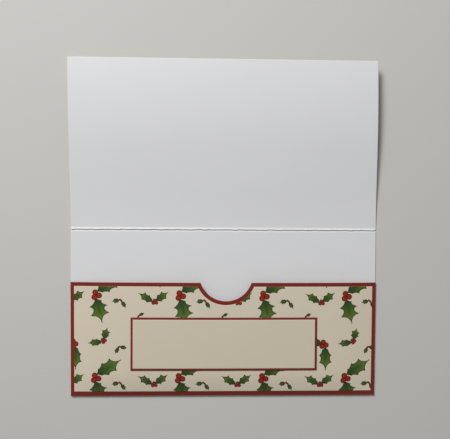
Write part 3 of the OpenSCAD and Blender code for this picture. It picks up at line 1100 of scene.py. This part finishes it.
        # The fold is painted paler at its outer curve: partly rubbing, partly a painted highlight
        shell.wall(faces[0], faces[1], sides=(), wear_and_highlight=np.sin(self.fold_turn)[:, None] ** 2)
        inward = self.flap_lines[:, None]
        x = share * (self.front_x(self.front_foot) - inward * (self.flap_w + self.mitre_gap) / self.flap_w)
        y = self.front_foot + inward
        shell.wall(surface(x, y, self.flap_z), surface(x, y, self.flap_z + self.card_t),
                   sides=(Side.LAST_ROW, Side.FIRST_COLUMN, Side.LAST_COLUMN), rounding=self.rounding)


@dataclass(frozen=True)
class PatternedPaper:
    """The cream paper with the holly print, taped on the pocket's front inside its red edge."""

    pocket: Pocket
    border: float = 2.1
    foot_border: float = 2.6
    thickness: float = 0.15
    rounding: float = 0.02

    def build(self) -> None:
        """Drapes the paper over the front, one tape's thickness above it."""
        x, y = self.pocket.front_grid(self.border, self.foot_border, self.border)
        z = self.pocket.top(x, y) + self.pocket.tape_t
        shell = Shell()
        shell.wall(surface(x, y, z + self.thickness), surface(x, y, z), rounding=self.rounding)
        publish(shell.build("holly_paper"), HOLLY_PAPER, Body.BASE, "printed_paper", "patterned_paper")


@dataclass(frozen=True)
class Label:
    """The label: a cream panel on a red mat, one tape above the patterned paper."""

    paper: PatternedPaper
    sheet_t: float = 0.2
    rounding: float = 0.02

    def build(self) -> None:
        """Builds the mat and the panel, each draped over the pocket's bulge."""
        tape = self.paper.pocket.tape_t
        mat = tape + self.paper.thickness + tape
        panel = mat + self.sheet_t + tape
        self.sheet("label_mat", "label_mat_card", mat, RED_CARD, "red_card")
        self.sheet("label_panel", "label_panel_paper", panel, LABEL_PAPER, "label_card")

    def sheet(self, node: str, name: str, level: float, stock: Finish, slot: str) -> None:
        """Makes one rectangular sheet of the label.

        Args:
            node: The CAD node that it stands for, whose box gives its outline.
            name: The piece's name.
            level: Height of its underside above the pocket's front.
            stock: Its finish.
            slot: The record's material slot.
        """
        low, high = box_mm(node)
        pocket = self.paper.pocket
        x, y = np.meshgrid(*(stations(low[k] + self.rounding, high[k] - self.rounding, pocket.grid_step)
                             for k in (0, 1)))
        z = pocket.top(x, y) + level
        shell = Shell()
        shell.wall(surface(x, y, z + self.sheet_t), surface(x, y, z), rounding=self.rounding)
        publish(shell.build(name), stock, Body.BASE, slot, node)


@dataclass(frozen=True)
class Tapes:
    """The strips of double-sided tape, which keep their CAD solids."""

    nodes: tuple[str, ...] = (
        "flap_tape_left", "flap_tape_right", "flap_tape_foot", "paper_tape", "mat_tape", "label_tape",
    )

    def dress(self) -> None:
        """Gives each strip the tape's finish."""
        for name in self.nodes:
            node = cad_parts[name]
            node.data.materials.clear()
            node.data.materials.append(CLEAR_TAPE.material())
            log.info("%s: CAD solid, dressed as tape", name)


@dataclass(frozen=True)
class Studio:
    """The camera at the photograph's view, a pale table, one soft window-like lamp and an even sky."""

    turn_deg: tuple[float, float, float] = (1.278, 2.361, -0.315)
    offset_mm: tuple[float, float, float] = (-0.18, -5.25, -399.8)
    focal_px: float = 717.0
    frame_px: float = 450.0
    lamp_mm: tuple[float, float, float] = (-400.0, 780.0, 750.0)
    lamp_aim_mm: tuple[float, float, float] = (0.0, 30.0, 0.0)
    lamp_size_mm: float = 420.0
    lamp_watts: float = 5.1
    lamp_spread_deg: float = 120.0
    sky: float = 0.226
    sky_tint: str = "#fcfdff"
    table: str = "#c9c7c2"
    backdrop: str = "#d4d3cf"

    def camera(self) -> None:
        """Places the camera: turns about X, Y and Z and then the offset take the crease's centre to it."""
        turns = [Matrix.Rotation(math.radians(deg), 3, axis) for deg, axis in zip(self.turn_deg, "XYZ")]
        facing = turns[2] @ turns[1] @ turns[0]
        crease = Vector((0.0, box_mm("back_panel")[1][1], 0.0))
        place = crease - facing.transposed() @ Vector(self.offset_mm)
        data = bpy.data.cameras.new("photo_camera")
        data.sensor_width = 36.0
        data.lens = self.focal_px / self.frame_px * data.sensor_width
        data.clip_start = 0.01
        data.clip_end = 20.0
        camera = bpy.data.objects.new("photo_camera", data)
        camera.matrix_world = Matrix.LocRotScale(place * MM, facing.transposed().to_quaternion(), None)
        bpy.context.scene.collection.objects.link(camera)
        bpy.context.scene.camera = camera

    def table_top(self) -> None:
        """Lays a wide pale table 0.04 mm under the card. Its places are in metres."""
        half, drop = 3.0, -0.00004
        mesh = bpy.data.meshes.new("table")
        corners = [(-half, -half, drop), (half, -half, drop), (half, half, drop), (-half, half, drop)]
        mesh.from_pydata(corners, [], [(0, 1, 2, 3)])
        table = bpy.data.objects.new("table", mesh)
        bpy.context.scene.collection.objects.link(table)
        material = bpy.data.materials.new("painted_table")
        material.use_nodes = True
        tree = material.node_tree
        tree.nodes.clear()
        shader = add_node(tree, "ShaderNodeBsdfPrincipled",
                          {"Base Color": srgb(self.table), "Roughness": 0.8, "Specular IOR Level": 0.2})
        add_node(tree, "ShaderNodeOutputMaterial", {"Surface": Wire(tree, shader.outputs[0])})
        mesh.materials.append(material)

    def lights(self) -> None:
        """Adds the lamp, up and to the left of the picture, and the sky that fills its shadows.

        The camera, reflections and light through a clear piece meet the pale backdrop instead of the sky.
        """
        data = bpy.data.lights.new("window", "AREA")
        data.shape = "SQUARE"
        data.size = self.lamp_size_mm * MM
        data.energy = self.lamp_watts
        data.spread = math.radians(self.lamp_spread_deg)
        lamp = bpy.data.objects.new("window", data)
        place = Vector(self.lamp_mm) * MM
        aim = (Vector(self.lamp_aim_mm) * MM - place).to_track_quat("-Z", "Y")
        lamp.matrix_world = Matrix.LocRotScale(place, aim, None)
        bpy.context.scene.collection.objects.link(lamp)
        world = bpy.data.worlds.new("studio")
        bpy.context.scene.world = world
        world.use_nodes = True
        tree = world.node_tree
        tree.nodes.clear()
        rays = add_node(tree, "ShaderNodeLightPath").outputs
        seen, glossy, through = (Wire(tree, rays[name])
                                 for name in ("Is Camera Ray", "Is Glossy Ray", "Is Transmission Ray"))
        seen = seen.then(Op.GREATER, glossy).then(Op.GREATER, through)
        fill = add_node(tree, "ShaderNodeBackground", {"Color": srgb(self.sky_tint), "Strength": self.sky})
        shown = add_node(tree, "ShaderNodeBackground", {"Color": srgb(self.backdrop), "Strength": 1.0})
        mixed = add_node(tree, "ShaderNodeMixShader",
                         {0: seen, 1: Wire(tree, fill.outputs[0]), 2: Wire(tree, shown.outputs[0])})
        add_node(tree, "ShaderNodeOutputWorld", {"Surface": Wire(tree, mixed.outputs[0])})

    def build(self) -> None:
        """Sets the view transform, the table and the lights."""
        bpy.context.scene.view_settings.view_transform = "Standard"
        self.table_top()
        self.lights()


def main() -> None:
    """Builds the camera, the holder's sub-assemblies and the studio in order."""
    logging.basicConfig(level=logging.INFO, format="%(name)s %(message)s")
    studio = Studio()
    studio.camera()
    BaseCard().build()
    pocket = Pocket()
    pocket.build()
    paper = PatternedPaper(pocket)
    paper.build()
    Label(paper).build()
    Tapes().dress()
    studio.build()


if __name__ == "__main__":
    main()
